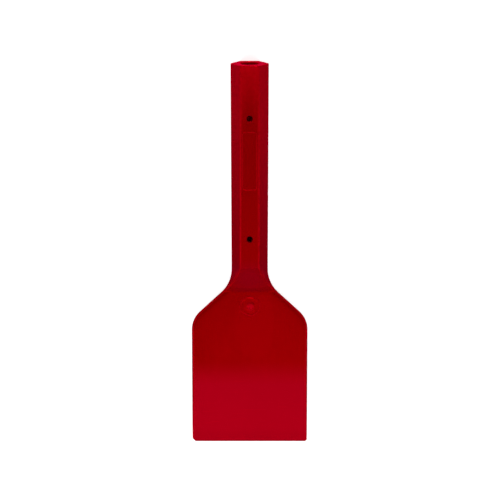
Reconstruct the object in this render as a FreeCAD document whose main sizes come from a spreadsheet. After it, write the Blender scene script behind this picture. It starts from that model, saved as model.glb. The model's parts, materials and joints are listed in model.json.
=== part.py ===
"""Hive tool: a one-piece plastic scraper with a hollow six-sided grip and a wide flat blade.

The tool lies on its back.  X runs across the blade, Y along the tool with the open end of the
grip at +Y, and Z is up through the thickness.  The origin is at the middle of the outline, on
the surface that the grip's back flat rests on.

The moulding is divided where its form changes, and neighbouring regions meet face to face:

    handle         six-sided grip with its bore, cross holes and panel recess
    name_panel     blank raised panel seated in that recess
    neck           ramps and flared sides between the grip and the blade
    blade          flat plate with the two shoulders
    scraping_edge  tapered lower part of the plate with its bevelled working edge
    gate_mark      round gate scar with its nub, at the top of the blade

Every body has its own origin on the parting plane, at the open end of the grip, so that
lengths along the tool are measured from that end towards -Y.
"""
import FreeCAD, Part
import math
import os

import Sketcher

MM = FreeCAD.Vector
ORIGIN = (-1, 1)
VERTICAL_AXIS = -2
START = 1
END = 2
CENTRE = 3

SIZES = [
    ("overall_length", 250.0, "open end of the grip to the working edge"),
    ("grip_length", 130.5, "open end to the start of the ramps"),
    ("grip_thickness", 21.0, "front flat to back flat"),
    ("grip_flat_width", 12.2, "width of the front and back flats"),
    ("grip_width_end", 24.2, "across the side ridges at the open end"),
    ("grip_width_neck", 23.3, "across the side ridges at the neck"),
    ("side_land", 1.2, "height of the parting land on every side ridge"),
    ("rim_round", 0.8, "rounding of the outer rim at the open end"),
    ("mouth_round", 0.8, "rounding of the bore's mouth"),
    ("bore_diameter", 12.0, "bore that cores the grip out"),
    ("bore_end_wall", 10.0, "solid plastic between the bore and the neck"),
    ("hole_diameter", 4.0, "cross holes through the front and back walls"),
    ("hole_from_end", 33.7, "open end to the first cross hole"),
    ("hole_from_neck", 18.8, "second cross hole to the start of the ramps"),
    ("panel_length", 37.2, "name panel along the grip"),
    ("panel_width", 9.1, "name panel across the grip"),
    ("panel_corner", 1.6, "corner radius of the name panel"),
    ("panel_setback", 8.7, "first cross hole to the near end of the name panel"),
    ("panel_sink", 0.5, "depth of the panel's recess"),
    ("panel_proud", 0.15, "how far the panel stands above the front flat"),
    ("panel_groove", 0.15, "witness line between the panel and its recess"),
    ("ramp_length", 18.0, "start of the ramps to the flat of the blade"),
    ("ramp_foot_round", 8.0, "hollow blend at the foot of each ramp"),
    ("flare_lag", 3.0, "start of the ramps to the start of the flared sides"),
    ("flare_angle", 47.0, "angle of the flared sides to the tool's axis"),
    ("flare_round", 21.2, "hollow radius where the sides leave the grip"),
    ("shoulder_round", 16.5, "radius of the blade's shoulders"),
    ("blade_width", 75.0, "across the blade"),
    ("blade_thickness", 4.0, "flat of the blade"),
    ("taper_length", 49.0, "start of the taper to the working edge"),
    ("bevel_length", 8.0, "height of the final bevel above the working edge"),
    ("bevel_thickness", 1.8, "blade thickness where the final bevel starts"),
    ("edge_thickness", 0.9, "blade thickness at the working edge"),
    ("edge_corner_round", 2.6, "radius of the working edge's corners"),
    ("gate_diameter", 13.4, "round recess of the gate mark"),
    ("gate_depth", 0.5, "depth of that recess"),
    ("gate_setback", 9.3, "foot of the ramp to the middle of the gate mark"),
    ("gate_groove", 0.15, "witness line round the gate disc"),
    ("gate_disc_thickness", 0.3, "disc on the recess floor"),
    ("nub_diameter", 4.6, "cut stub in the middle of the gate disc"),
    ("nub_height", 0.4, "stub above the gate disc"),
]


def make_sheet(doc):
    """Return the spreadsheet that holds every driving dimension."""
    sheet = doc.addObject("Spreadsheet::Sheet", "sizes")
    for row, (alias, value, meaning) in enumerate(SIZES, start=1):
        sheet.set("A%d" % row, meaning)
        sheet.set("B%d" % row, str(value))
        sheet.setAlias("B%d" % row, alias)
    doc.recompute()
    return sheet


doc = FreeCAD.newDocument("hive_tool")
sizes = make_sheet(doc)

# Places along the tool, measured from the open end, as they are written in expressions.
NECK_START = "sizes.grip_length"
BLADE_START = "(sizes.grip_length + sizes.ramp_length)"
FLARE_START = "(sizes.grip_length + sizes.flare_lag)"
TAPER_START = "(sizes.overall_length - sizes.taper_length)"
BEVEL_START = "(sizes.overall_length - sizes.bevel_length)"
WORKING_EDGE = "sizes.overall_length"
FIRST_HOLE = "sizes.hole_from_end"
SECOND_HOLE = "(sizes.grip_length - sizes.hole_from_neck)"
PANEL_START = "(sizes.hole_from_end + sizes.panel_setback)"
GATE_CENTRE = "(sizes.grip_length + sizes.ramp_length + sizes.gate_setback)"

# The flared sides lean at the angle that carries the grip's slanted faces on into the blade.
SIDE_DRAFT = ("atan((sizes.grip_width_neck - sizes.grip_flat_width)"
              " / (sizes.grip_thickness - sizes.side_land))")


def value_of(expression):
    """Return the number that an expression on the sheet gives."""
    result = sizes.evalExpression(expression.replace("sizes.", ""))
    return float(getattr(result, "Value", result))


def new_body(label):
    """Return a body whose origin is on the parting plane at the open end of the grip."""
    body = doc.addObject("PartDesign::Body", label)
    body.Label = label
    body.setExpression("Placement.Base.y", "sizes.overall_length / 2")
    body.setExpression("Placement.Base.z", "sizes.grip_thickness / 2")
    return body


def new_sketch(body, name, plane, offset="0"):
    """Return a sketch on one of the body's origin planes, moved along that plane's normal."""
    sketch = body.newObject("Sketcher::SketchObject", name)
    faces = [face for face in body.Origin.OriginFeatures if face.Role == plane]
    sketch.AttachmentSupport = (faces[0], [""])
    sketch.MapMode = "FlatFace"
    sketch.setExpression("AttachmentOffset.Base.z", offset)
    doc.recompute()
    return sketch


def line(sketch, start, end):
    """Add a line between two (x, y) points and return its index."""
    return sketch.addGeometry(Part.LineSegment(MM(*start, 0), MM(*end, 0)), False)


def arc(sketch, centre, radius, from_degrees, to_degrees):
    """Add an anticlockwise arc and return its index."""
    circle = Part.Circle(MM(*centre, 0), MM(0, 0, 1), radius)
    angles = (math.radians(from_degrees), math.radians(to_degrees))
    return sketch.addGeometry(Part.ArcOfCircle(circle, *angles), False)


def relate(sketch, kind, *references):
    """Add a geometric constraint."""
    sketch.addConstraint(Sketcher.Constraint(kind, *references))


def dimension(sketch, name, kind, references, expression):
    """Add a named dimension that follows an expression on the sheet."""
    number = value_of(expression)
    if kind == "Angle":
        number = math.radians(number)
    index = sketch.addConstraint(Sketcher.Constraint(kind, *references, number))
    sketch.renameConstraint(index, name)
    sketch.setExpression("Constraints." + name, expression)


def mirror_points(sketch, pairs):
    """Hold each pair of points symmetric about the sketch's vertical axis."""
    for first, second in pairs:
        relate(sketch, "Symmetric", *first, *second, VERTICAL_AXIS)


def along(sketch, name, point, expression):
    """Hold a point at a distance from the open end in a plan sketch."""
    dimension(sketch, name, "DistanceY", (*point, *ORIGIN), expression)


def add_feature(body, kind, name, sketch, **expressions):
    """Add a sketch-based feature whose properties follow expressions, and return it."""
    feature = body.newObject("PartDesign::" + kind, name)
    feature.Profile = sketch
    for key, expression in expressions.items():
        feature.setExpression(key, expression)
    return feature


def cut_feature(body, name, sketch, reversed_side=False, through=False, depth=None):
    """Add a pocket that must take material away, and return it."""
    before = body.Shape.Volume
    pocket = body.newObject("PartDesign::Pocket", name)
    pocket.Profile = sketch
    pocket.Reversed = reversed_side
    if through:
        pocket.SideType = "Symmetric"
        pocket.Type = "ThroughAll"
    else:
        pocket.setExpression("Length", depth)
    doc.recompute()
    if body.Shape.Volume >= before - 1e-6:
        raise RuntimeError(name + " removes nothing")
    return pocket


# Grip ------------------------------------------------------------------------------------

def grip_section(body, name, offset, width):
    """Draw the six-sided section with a small land on each side ridge."""
    sketch = new_sketch(body, name, "XZ_Plane", offset)
    ridge = value_of(width) / 2
    flat = sizes.grip_flat_width / 2
    top = sizes.grip_thickness / 2
    land = sizes.side_land / 2
    corners = [(-flat, top), (flat, top), (ridge, land), (ridge, -land),
               (flat, -top), (-flat, -top), (-ridge, -land), (-ridge, land)]
    sides = [line(sketch, corners[i], corners[(i + 1) % 8]) for i in range(8)]
    for index, side in enumerate(sides):
        relate(sketch, "Coincident", side, END, sides[(index + 1) % 8], START)
    mirror_points(sketch, [((sides[i], START), (sides[j], END))
                           for i, j in ((0, 0), (7, 1), (6, 2), (5, 3))])
    relate(sketch, "Symmetric", sides[2], START, sides[2], END, -1)
    relate(sketch, "Symmetric", sides[1], START, sides[3], END, -1)
    dimension(sketch, "flat", "DistanceX", (sides[0], START, sides[0], END), "sizes.grip_flat_width")
    dimension(sketch, "ridges", "DistanceX", (sides[7], START, sides[2], START), width)
    dimension(sketch, "land", "DistanceY", (sides[2], END, sides[2], START), "sizes.side_land")
    dimension(sketch, "thickness", "DistanceY", (sides[3], END, sides[1], START),
              "sizes.grip_thickness")
    return sketch


def rounded_rectangle(sketch, start, length, width, corner):
    """Draw a rectangle with rounded corners, centred across the grip."""
    high = -value_of(start)
    low = high - value_of(length)
    half = value_of(width) / 2
    radius = value_of(corner)
    top = line(sketch, (-half + radius, high), (half - radius, high))
    right = line(sketch, (half, high - radius), (half, low + radius))
    bottom = line(sketch, (half - radius, low), (-half + radius, low))
    left = line(sketch, (-half, low + radius), (-half, high - radius))
    top_right = arc(sketch, (half - radius, high - radius), radius, 0, 90)
    bottom_right = arc(sketch, (half - radius, low + radius), radius, 270, 360)
    bottom_left = arc(sketch, (-half + radius, low + radius), radius, 180, 270)
    top_left = arc(sketch, (-half + radius, high - radius), radius, 90, 180)
    for chain in ((top, END, top_right, END), (top_right, START, right, START),
                  (right, END, bottom_right, END), (bottom_right, START, bottom, START),
                  (bottom, END, bottom_left, END), (bottom_left, START, left, START),
                  (left, END, top_left, END), (top_left, START, top, START)):
        relate(sketch, "Tangent", *chain)
    relate(sketch, "Horizontal", bottom)
    relate(sketch, "Vertical", right)
    relate(sketch, "Vertical", left)
    relate(sketch, "Equal", top_right, bottom_right)
    relate(sketch, "Equal", top_right, bottom_left)
    relate(sketch, "Equal", top_right, top_left)
    relate(sketch, "Symmetric", top, START, top, END, VERTICAL_AXIS)
    along(sketch, "start", (top, START), start)
    dimension(sketch, "length", "DistanceY", (bottom, START, top, END), length)
    dimension(sketch, "width", "DistanceX", (left, START, right, START), width)
    dimension(sketch, "corner", "Radius", (top_right,), corner)


def round_rim(body, name, at_bore, radius):
    """Round the edges in the open end: the bore's mouth, or the outer rim."""
    base = body.Tip
    names = []
    for number, edge in enumerate(base.Shape.Edges, start=1):
        box = edge.BoundBox
        in_open_end = max(abs(box.YMin), abs(box.YMax)) < 1e-4
        if in_open_end and isinstance(edge.Curve, Part.Circle) == at_bore:
            names.append("Edge%d" % number)
    rounding = body.newObject("PartDesign::Fillet", name)
    rounding.Base = (base, names)
    rounding.setExpression("Radius", radius)
    doc.recompute()


def make_handle():
    """Make the hollow grip."""
    body = new_body("handle")
    open_end = grip_section(body, "grip_section_end", "0", "sizes.grip_width_end")
    neck_end = grip_section(body, "grip_section_neck", NECK_START, "sizes.grip_width_neck")
    loft = body.newObject("PartDesign::AdditiveLoft", "grip_loft")
    loft.Profile = open_end
    loft.Sections = [neck_end]
    loft.Ruled = True
    doc.recompute()

    bore = new_sketch(body, "bore_circle", "XZ_Plane")
    circle = bore.addGeometry(Part.Circle(MM(0, 0, 0), MM(0, 0, 1), sizes.bore_diameter / 2), False)
    relate(bore, "Coincident", circle, CENTRE, *ORIGIN)
    dimension(bore, "bore", "Diameter", (circle,), "sizes.bore_diameter")
    cut_feature(body, "bore", bore, reversed_side=True,
                depth="sizes.grip_length - sizes.bore_end_wall")

    holes = new_sketch(body, "cross_hole_circles", "XY_Plane")
    for name, place in (("first", FIRST_HOLE), ("second", SECOND_HOLE)):
        centre = MM(0, -value_of(place), 0)
        circle = holes.addGeometry(Part.Circle(centre, MM(0, 0, 1), sizes.hole_diameter / 2), False)
        relate(holes, "PointOnObject", circle, CENTRE, VERTICAL_AXIS)
        along(holes, name, (circle, CENTRE), place)
        dimension(holes, name + "_diameter", "Diameter", (circle,), "sizes.hole_diameter")
    cut_feature(body, "cross_holes", holes, through=True)

    recess = new_sketch(body, "panel_recess_outline", "XY_Plane", "sizes.grip_thickness / 2")
    rounded_rectangle(recess, PANEL_START + " - sizes.panel_groove",
                      "sizes.panel_length + 2 * sizes.panel_groove",
                      "sizes.panel_width + 2 * sizes.panel_groove",
                      "sizes.panel_corner + sizes.panel_groove")
    cut_feature(body, "panel_recess", recess, depth="sizes.panel_sink")

    round_rim(body, "mouth_rounding", True, "sizes.mouth_round")
    round_rim(body, "outer_rim_rounding", False, "sizes.rim_round")
    return body


def make_name_panel():
    """Make the blank panel that sits in the grip's front recess."""
    body = new_body("name_panel")
    outline = new_sketch(body, "panel_outline", "XY_Plane",
                         "sizes.grip_thickness / 2 - sizes.panel_sink")
    rounded_rectangle(outline, PANEL_START, "sizes.panel_length", "sizes.panel_width",
                      "sizes.panel_corner")
    add_feature(body, "Pad", "panel_pad", outline, Length="sizes.panel_sink + sizes.panel_proud")
    doc.recompute()
    return body


# Neck and blade ---------------------------------------------------------------------------

def plan_points():
    """Work out the right half of the tool's plan, below the grip, from the sheet."""
    angle = math.radians(sizes.flare_angle)
    ridge = sizes.grip_width_neck / 2
    half = sizes.blade_width / 2
    flare_top = -value_of(FLARE_START)
    rounds = sizes.flare_round + sizes.shoulder_round
    straight = (half - ridge - rounds * (1 - math.cos(angle))) / math.sin(angle)
    shoulder_end = flare_top - rounds * math.sin(angle) - straight * math.cos(angle)
    return {
        "angle": sizes.flare_angle,
        "ridge": ridge,
        "half": half,
        "flare_top": flare_top,
        "flare_centre": (ridge + sizes.flare_round, flare_top),
        "flare_end": (ridge + sizes.flare_round * (1 - math.cos(angle)),
                      flare_top - sizes.flare_round * math.sin(angle)),
        "shoulder_start": (half - sizes.shoulder_round * (1 - math.cos(angle)),
                           shoulder_end + sizes.shoulder_round * math.sin(angle)),
        "shoulder_centre": (half - sizes.shoulder_round, shoulder_end),
        "shoulder_end": (half, shoulder_end),
    }


def flip(point):
    """Return the point mirrored about the tool's axis."""
    return (-point[0], point[1])


def plan_outline(sketch, start, reach, with_blade):
    """Draw the plan of the tool below the grip.

    The outline starts at the expression start.  It takes in the grip's last stretch and the
    flared sides, and then either the whole blade, or the flared sides as far as the
    expression reach.
    """
    plan = plan_points()
    angle = plan["angle"]
    high = -value_of(start)
    low = -value_of(reach)
    flare_top = (plan["ridge"], plan["flare_top"])
    if with_blade:
        flank_end = plan["shoulder_start"]
    else:
        run = (plan["flare_end"][1] - low) * math.tan(math.radians(angle))
        flank_end = (plan["flare_end"][0] + run, low)

    top = line(sketch, (-plan["ridge"], high), (plan["ridge"], high))
    side_right = line(sketch, (plan["ridge"], high), flare_top)
    side_left = line(sketch, (-plan["ridge"], high), flip(flare_top))
    flare_right = arc(sketch, plan["flare_centre"], sizes.flare_round, 180, 180 + angle)
    flare_left = arc(sketch, flip(plan["flare_centre"]), sizes.flare_round, 360 - angle, 360)
    flank_right = line(sketch, plan["flare_end"], flank_end)
    flank_left = line(sketch, flip(plan["flare_end"]), flip(flank_end))

    relate(sketch, "Coincident", top, END, side_right, START)
    relate(sketch, "Coincident", top, START, side_left, START)
    relate(sketch, "Tangent", side_right, END, flare_right, START)
    relate(sketch, "Tangent", side_left, END, flare_left, END)
    relate(sketch, "Tangent", flare_right, END, flank_right, START)
    relate(sketch, "Tangent", flare_left, START, flank_left, START)
    relate(sketch, "Vertical", side_right)
    mirror_points(sketch, [((top, START), (top, END)),
                           ((side_left, END), (side_right, END)),
                           ((flank_left, START), (flank_right, START))])
    along(sketch, "start", (top, END), start)
    along(sketch, "flare_start", (side_right, END), FLARE_START)
    dimension(sketch, "ridges", "DistanceX", (top, START, top, END), "sizes.grip_width_neck")
    dimension(sketch, "flare_round", "Radius", (flare_right,), "sizes.flare_round")
    dimension(sketch, "flare_angle", "Angle", (flank_right, START, VERTICAL_AXIS, START),
              "180 - sizes.flare_angle")

    if not with_blade:
        bottom = line(sketch, flank_end, flip(flank_end))
        relate(sketch, "Coincident", flank_right, END, bottom, START)
        relate(sketch, "Coincident", flank_left, END, bottom, END)
        relate(sketch, "Horizontal", bottom)
        along(sketch, "reach", (bottom, START), reach)
        return

    corner = sizes.edge_corner_round
    corner_centre = (plan["half"] - corner, low + corner)
    shoulder_right = arc(sketch, plan["shoulder_centre"], sizes.shoulder_round, 0, angle)
    shoulder_left = arc(sketch, flip(plan["shoulder_centre"]), sizes.shoulder_round,
                        180 - angle, 180)
    edge_right = line(sketch, plan["shoulder_end"], (plan["half"], low + corner))
    edge_left = line(sketch, flip(plan["shoulder_end"]), (-plan["half"], low + corner))
    corner_right = arc(sketch, corner_centre, corner, 270, 360)
    corner_left = arc(sketch, flip(corner_centre), corner, 180, 270)
    bottom = line(sketch, (plan["half"] - corner, low), (-plan["half"] + corner, low))
    relate(sketch, "Tangent", flank_right, END, shoulder_right, END)
    relate(sketch, "Tangent", flank_left, END, shoulder_left, START)
    relate(sketch, "Tangent", shoulder_right, START, edge_right, START)
    relate(sketch, "Tangent", shoulder_left, END, edge_left, START)
    relate(sketch, "Tangent", edge_right, END, corner_right, END)
    relate(sketch, "Tangent", edge_left, END, corner_left, START)
    relate(sketch, "Tangent", corner_right, START, bottom, START)
    relate(sketch, "Tangent", corner_left, END, bottom, END)
    relate(sketch, "Vertical", edge_right)
    relate(sketch, "Horizontal", bottom)
    mirror_points(sketch, [((edge_left, START), (edge_right, START)),
                           ((edge_left, END), (edge_right, END))])
    along(sketch, "reach", (bottom, START), reach)
    dimension(sketch, "blade_width", "DistanceX", (edge_left, START, edge_right, START),
              "sizes.blade_width")
    dimension(sketch, "shoulder_round", "Radius", (shoulder_right,), "sizes.shoulder_round")
    dimension(sketch, "corner", "Radius", (corner_right,), "sizes.edge_corner_round")


def drafted_plan(body, name, start, reach, with_blade, thickness):
    """Pad the plan both ways from the parting plane, its sides leaning in above the land."""
    middle = new_sketch(body, name + "_land_outline", "XY_Plane")
    plan_outline(middle, start, reach, with_blade)
    land = add_feature(body, "Pad", name + "_land", middle, Length="sizes.side_land")
    land.SideType = "Symmetric"
    for side, sign in (("front", ""), ("back", "-")):
        outline = new_sketch(body, "%s_%s_outline" % (name, side), "XY_Plane",
                             sign + "sizes.side_land / 2")
        plan_outline(outline, start, reach, with_blade)
        pad = add_feature(body, "Pad", "%s_%s" % (name, side), outline,
                          Length="(%s - sizes.side_land) / 2" % thickness,
                          TaperAngle="-1 * " + SIDE_DRAFT)
        pad.Reversed = side == "back"
    doc.recompute()


def waste_frame(sketch):
    """Draw the rectangle that bounds what a keep-profile pocket takes away."""
    reach = 2 * sizes.overall_length
    height = 2 * sizes.grip_thickness
    corners = [(-reach, height), (reach, height), (reach, -height), (-reach, -height)]
    sides = [line(sketch, corners[i], corners[(i + 1) % 4]) for i in range(4)]
    for index, side in enumerate(sides):
        relate(sketch, "Coincident", side, END, sides[(index + 1) % 4], START)
        relate(sketch, "Horizontal" if index % 2 == 0 else "Vertical", side)
    relate(sketch, "Symmetric", sides[0], START, sides[2], START, *ORIGIN)
    dimension(sketch, "waste_length", "DistanceX", (sides[0], START, sides[0], END),
              "4 * sizes.overall_length")
    dimension(sketch, "waste_height", "DistanceY", (sides[1], END, sides[1], START),
              "4 * sizes.grip_thickness")


def keep_polygon(body, name, stations):
    """Cut the body down to a side profile given as (place, thickness) expressions."""
    sketch = new_sketch(body, name + "_outline", "YZ_Plane")
    waste_frame(sketch)
    upper = [(-value_of(place), value_of(thickness) / 2) for place, thickness in stations]
    lower = [(place, -height) for place, height in reversed(upper)]
    corners = upper + lower
    count = len(corners)
    sides = [line(sketch, corners[i], corners[(i + 1) % count]) for i in range(count)]
    for index, side in enumerate(sides):
        relate(sketch, "Coincident", side, END, sides[(index + 1) % count], START)
    for index, (place, thickness) in enumerate(stations):
        opposite = sides[count - 1 - index]
        relate(sketch, "Symmetric", sides[index], START, opposite, START, -1)
        dimension(sketch, "place_%d" % index, "DistanceX", (sides[index], START, *ORIGIN), place)
        dimension(sketch, "thickness_%d" % index, "DistanceY",
                  (opposite, START, sides[index], START), thickness)
    cut_feature(body, name, sketch, through=True)


def keep_ramps(body, name):
    """Cut the body down to the two ramps, each with a hollow blend at its foot."""
    sketch = new_sketch(body, name + "_outline", "YZ_Plane")
    waste_frame(sketch)
    top = -value_of(NECK_START)
    foot = -value_of(BLADE_START)
    high = sizes.grip_thickness / 2
    flat = sizes.blade_thickness / 2
    radius = sizes.ramp_foot_round
    rise = radius - (high - flat)
    reach = math.hypot(sizes.ramp_length, rise)
    slope = math.asin(radius / reach) - math.atan2(rise, sizes.ramp_length)
    touch = (foot + radius * math.sin(slope), flat + radius * (1 - math.cos(slope)))
    degrees = math.degrees(slope)

    grip_side = line(sketch, (top, -high), (top, high))
    front_ramp = line(sketch, (top, high), touch)
    front_blend = arc(sketch, (foot, flat + radius), radius, 270, 270 + degrees)
    blade_side = line(sketch, (foot, flat), (foot, -flat))
    back_blend = arc(sketch, (foot, -flat - radius), radius, 90 - degrees, 90)
    back_ramp = line(sketch, (touch[0], -touch[1]), (top, -high))
    relate(sketch, "Coincident", grip_side, END, front_ramp, START)
    relate(sketch, "Tangent", front_ramp, END, front_blend, END)
    relate(sketch, "Coincident", front_blend, START, blade_side, START)
    relate(sketch, "Coincident", blade_side, END, back_blend, END)
    relate(sketch, "Tangent", back_blend, START, back_ramp, START)
    relate(sketch, "Coincident", back_ramp, END, grip_side, START)
    relate(sketch, "Symmetric", grip_side, START, grip_side, END, -1)
    relate(sketch, "Symmetric", blade_side, START, blade_side, END, -1)
    relate(sketch, "Vertical", front_blend, CENTRE, front_blend, START)
    relate(sketch, "Vertical", back_blend, CENTRE, back_blend, END)
    relate(sketch, "Equal", front_blend, back_blend)
    dimension(sketch, "top", "DistanceX", (grip_side, END, *ORIGIN), NECK_START)
    dimension(sketch, "foot", "DistanceX", (blade_side, START, *ORIGIN), BLADE_START)
    dimension(sketch, "grip", "DistanceY", (grip_side, START, grip_side, END),
              "sizes.grip_thickness")
    dimension(sketch, "blade", "DistanceY", (blade_side, END, blade_side, START),
              "sizes.blade_thickness")
    dimension(sketch, "blend", "Radius", (front_blend,), "sizes.ramp_foot_round")
    cut_feature(body, name, sketch, through=True)


def make_neck():
    """Make the ramps with their flared, leaning sides."""
    body = new_body("neck")
    start = NECK_START + " - sizes.grip_thickness"
    reach = FLARE_START + " + sizes.flare_round + sizes.grip_thickness / 2"
    drafted_plan(body, "neck_plan", start, reach, False, "sizes.grip_thickness")
    keep_ramps(body, "ramp_profile")
    return body


def make_blade():
    """Make the flat of the blade with its shoulders and the gate mark's recess."""
    body = new_body("blade")
    start = BLADE_START + " - sizes.ramp_length"
    drafted_plan(body, "blade_plan", start, WORKING_EDGE, True, "sizes.blade_thickness")
    keep_polygon(body, "flat_profile", [(BLADE_START, "sizes.blade_thickness"),
                                        (TAPER_START, "sizes.blade_thickness")])
    recess = new_sketch(body, "gate_recess_circle", "XY_Plane", "sizes.blade_thickness / 2")
    centre = MM(0, -value_of(GATE_CENTRE), 0)
    circle = recess.addGeometry(Part.Circle(centre, MM(0, 0, 1), sizes.gate_diameter / 2), False)
    relate(recess, "PointOnObject", circle, CENTRE, VERTICAL_AXIS)
    along(recess, "centre", (circle, CENTRE), GATE_CENTRE)
    dimension(recess, "diameter", "Diameter", (circle,), "sizes.gate_diameter")
    cut_feature(body, "gate_recess", recess, depth="sizes.gate_depth")
    return body


def make_scraping_edge():
    """Make the tapered lower part of the blade with its bevelled working edge."""
    body = new_body("scraping_edge")
    start = BLADE_START + " - sizes.ramp_length"
    drafted_plan(body, "edge_plan", start, WORKING_EDGE, True, "sizes.blade_thickness")
    keep_polygon(body, "edge_profile", [(TAPER_START, "sizes.blade_thickness"),
                                        (BEVEL_START, "sizes.bevel_thickness"),
                                        (WORKING_EDGE, "sizes.edge_thickness")])
    return body


def make_gate_mark():
    """Make the gate disc with the cut stub in its middle."""
    body = new_body("gate_mark")
    body.setExpression("Placement.Base.y", "sizes.overall_length / 2 - " + GATE_CENTRE)
    body.setExpression("Placement.Base.z", "sizes.grip_thickness / 2"
                       " + sizes.blade_thickness / 2 - sizes.gate_depth")
    sketch = new_sketch(body, "gate_half_section", "XZ_Plane")
    disc = sizes.gate_diameter / 2 - sizes.gate_groove
    deep = sizes.gate_disc_thickness
    nub = sizes.nub_diameter / 2
    peak = deep + sizes.nub_height
    corners = [(0, 0), (disc, 0), (disc, deep), (nub, deep), (nub, peak), (0, peak)]
    sides = [line(sketch, corners[i], corners[(i + 1) % 6]) for i in range(6)]
    for index, side in enumerate(sides):
        relate(sketch, "Coincident", side, END, sides[(index + 1) % 6], START)
        relate(sketch, "Horizontal" if index % 2 == 0 else "Vertical", side)
    relate(sketch, "Coincident", sides[0], START, *ORIGIN)
    dimension(sketch, "disc", "DistanceX", (sides[0], START, sides[0], END),
              "sizes.gate_diameter / 2 - sizes.gate_groove")
    dimension(sketch, "disc_thickness", "DistanceY", (sides[1], START, sides[1], END),
              "sizes.gate_disc_thickness")
    dimension(sketch, "nub", "DistanceX", (sides[4], END, sides[4], START),
              "sizes.nub_diameter / 2")
    dimension(sketch, "nub_height", "DistanceY", (sides[3], START, sides[3], END),
              "sizes.nub_height")
    turned = body.newObject("PartDesign::Revolution", "gate_disc")
    turned.Profile = sketch
    turned.ReferenceAxis = (sketch, ["V_Axis"])
    turned.Angle = 360
    doc.recompute()
    return body


# Checks and files ---------------------------------------------------------------------------

def check_document():
    """Stop if any object failed to compute."""
    for item in doc.Objects:
        if "Invalid" in item.State or "Error" in item.State:
            raise RuntimeError("%s failed: %s" % (item.Label, item.State))


def write_parts(parts):
    """Check each sub-part's shape and write it to its own file."""
    for part in parts:
        shape = part.Shape
        if shape.isNull() or not shape.isValid():
            raise RuntimeError(part.Label + " has no valid shape")
    os.makedirs("parts", exist_ok=True)
    for part in parts:
        part.Shape.exportStep("parts/%s.step" % part.Label)
        print("%-14s %10.1f mm3" % (part.Label, part.Shape.Volume))


sub_parts = [make_handle(), make_name_panel(), make_neck(), make_blade(),
             make_scraping_edge(), make_gate_mark()]
doc.recompute()
check_document()
write_parts(sub_parts)
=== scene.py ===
"""Looks of a moulded plastic hive tool, built round its fixed CAD frame.

The tool lies on the back flat of its grip.  X runs across the blade, Y towards the open end of
the grip and Z upwards, in metres.  The real tool is one moulding, so its body is modelled as one
sweep along Y, and only then parted at the frame's node boundaries.
"""

import json
import logging
import math
from dataclasses import dataclass, field
from enum import Enum
from typing import Callable, Iterable

import bmesh
import bpy
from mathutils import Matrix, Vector


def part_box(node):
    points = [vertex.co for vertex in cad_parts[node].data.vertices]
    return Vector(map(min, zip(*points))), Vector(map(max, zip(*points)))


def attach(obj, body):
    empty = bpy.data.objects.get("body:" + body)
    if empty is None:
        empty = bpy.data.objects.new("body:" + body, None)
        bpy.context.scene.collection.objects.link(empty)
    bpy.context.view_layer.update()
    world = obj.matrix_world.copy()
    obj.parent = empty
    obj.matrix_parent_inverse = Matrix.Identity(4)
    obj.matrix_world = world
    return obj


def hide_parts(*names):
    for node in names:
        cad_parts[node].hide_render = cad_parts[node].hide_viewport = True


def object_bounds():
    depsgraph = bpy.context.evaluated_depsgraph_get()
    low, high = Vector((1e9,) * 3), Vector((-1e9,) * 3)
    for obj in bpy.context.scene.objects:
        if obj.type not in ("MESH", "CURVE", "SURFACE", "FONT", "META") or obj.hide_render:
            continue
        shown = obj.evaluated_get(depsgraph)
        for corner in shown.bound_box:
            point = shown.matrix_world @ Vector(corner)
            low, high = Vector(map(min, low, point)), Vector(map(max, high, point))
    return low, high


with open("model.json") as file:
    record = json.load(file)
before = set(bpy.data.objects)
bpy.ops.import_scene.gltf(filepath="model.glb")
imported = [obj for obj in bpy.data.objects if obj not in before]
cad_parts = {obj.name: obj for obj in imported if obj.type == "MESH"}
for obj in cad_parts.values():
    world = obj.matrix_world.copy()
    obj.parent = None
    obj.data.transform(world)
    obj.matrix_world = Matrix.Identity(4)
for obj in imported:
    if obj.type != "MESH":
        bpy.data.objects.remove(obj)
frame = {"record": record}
CAD_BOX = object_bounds()

MM = 0.001
BODY = "root"
WELD = 1e-6  # points closer than this are one point
SQUARE = 1 - WELD  # a face whose normal passes this along an axis is square to it
WEAR_AND_HIGHLIGHT = "wear"  # the attribute that tells a finish where it paints edge wear and painted highlights
WEAR_AND_HIGHLIGHT_BENDS = (4.0, 13.0)  # the bends, in degrees, where an edge starts to get painted wear and highlight and gets them fully
PAINTED_LIT_MOUTH = 6.0 * MM  # how far into the bore's mouth its wall gets painted light
LOG = logging.getLogger("hive_tool")

Piece = bpy.types.Object
Pair = tuple[float, float]
Quarter = list[Pair]
Colour = tuple[float, float, float, float]
Socket = bpy.types.NodeSocket


class Region(Enum):
    """The regions that the moulding is parted into, with the frame's node for each."""

    GRIP = "handle"
    NECK = "neck"
    BLADE = "blade"
    EDGE = "scraping_edge"


class Axis(Enum):
    """The axis that a ring of vertices is swept along, as indices: across, up and along."""

    Y = (0, 2, 1)
    Z = (0, 1, 2)


def even(first: float, last: float, steps: int) -> list[float]:
    """Return values that run evenly from the first to the last in this many steps."""
    return [first + (last - first) * i / steps for i in range(steps + 1)]


# Operators ---------------------------------------------------------------------------------------


def pick(piece: Piece) -> None:
    """Make a piece the only one that operators act on.

    Args:
        piece: The object to select and make active.
    """
    if bpy.context.object and bpy.context.object.mode != "OBJECT":
        bpy.ops.object.mode_set(mode="OBJECT")
    bpy.ops.object.select_all(action="DESELECT")
    piece.select_set(True)
    bpy.context.view_layer.objects.active = piece


def start_piece(name: str) -> Piece:
    """Name the primitive that was just added and settle its turn and place into its mesh.

    Args:
        name: The piece's name.

    Returns:
        The new piece, in edit mode with everything selected.
    """
    piece = bpy.context.object
    piece.name = name
    piece.data.name = name
    bpy.ops.object.transform_apply(location=True, rotation=True, scale=True)
    bpy.ops.object.mode_set(mode="EDIT")
    bpy.ops.mesh.select_all(action="SELECT")
    return piece


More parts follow.
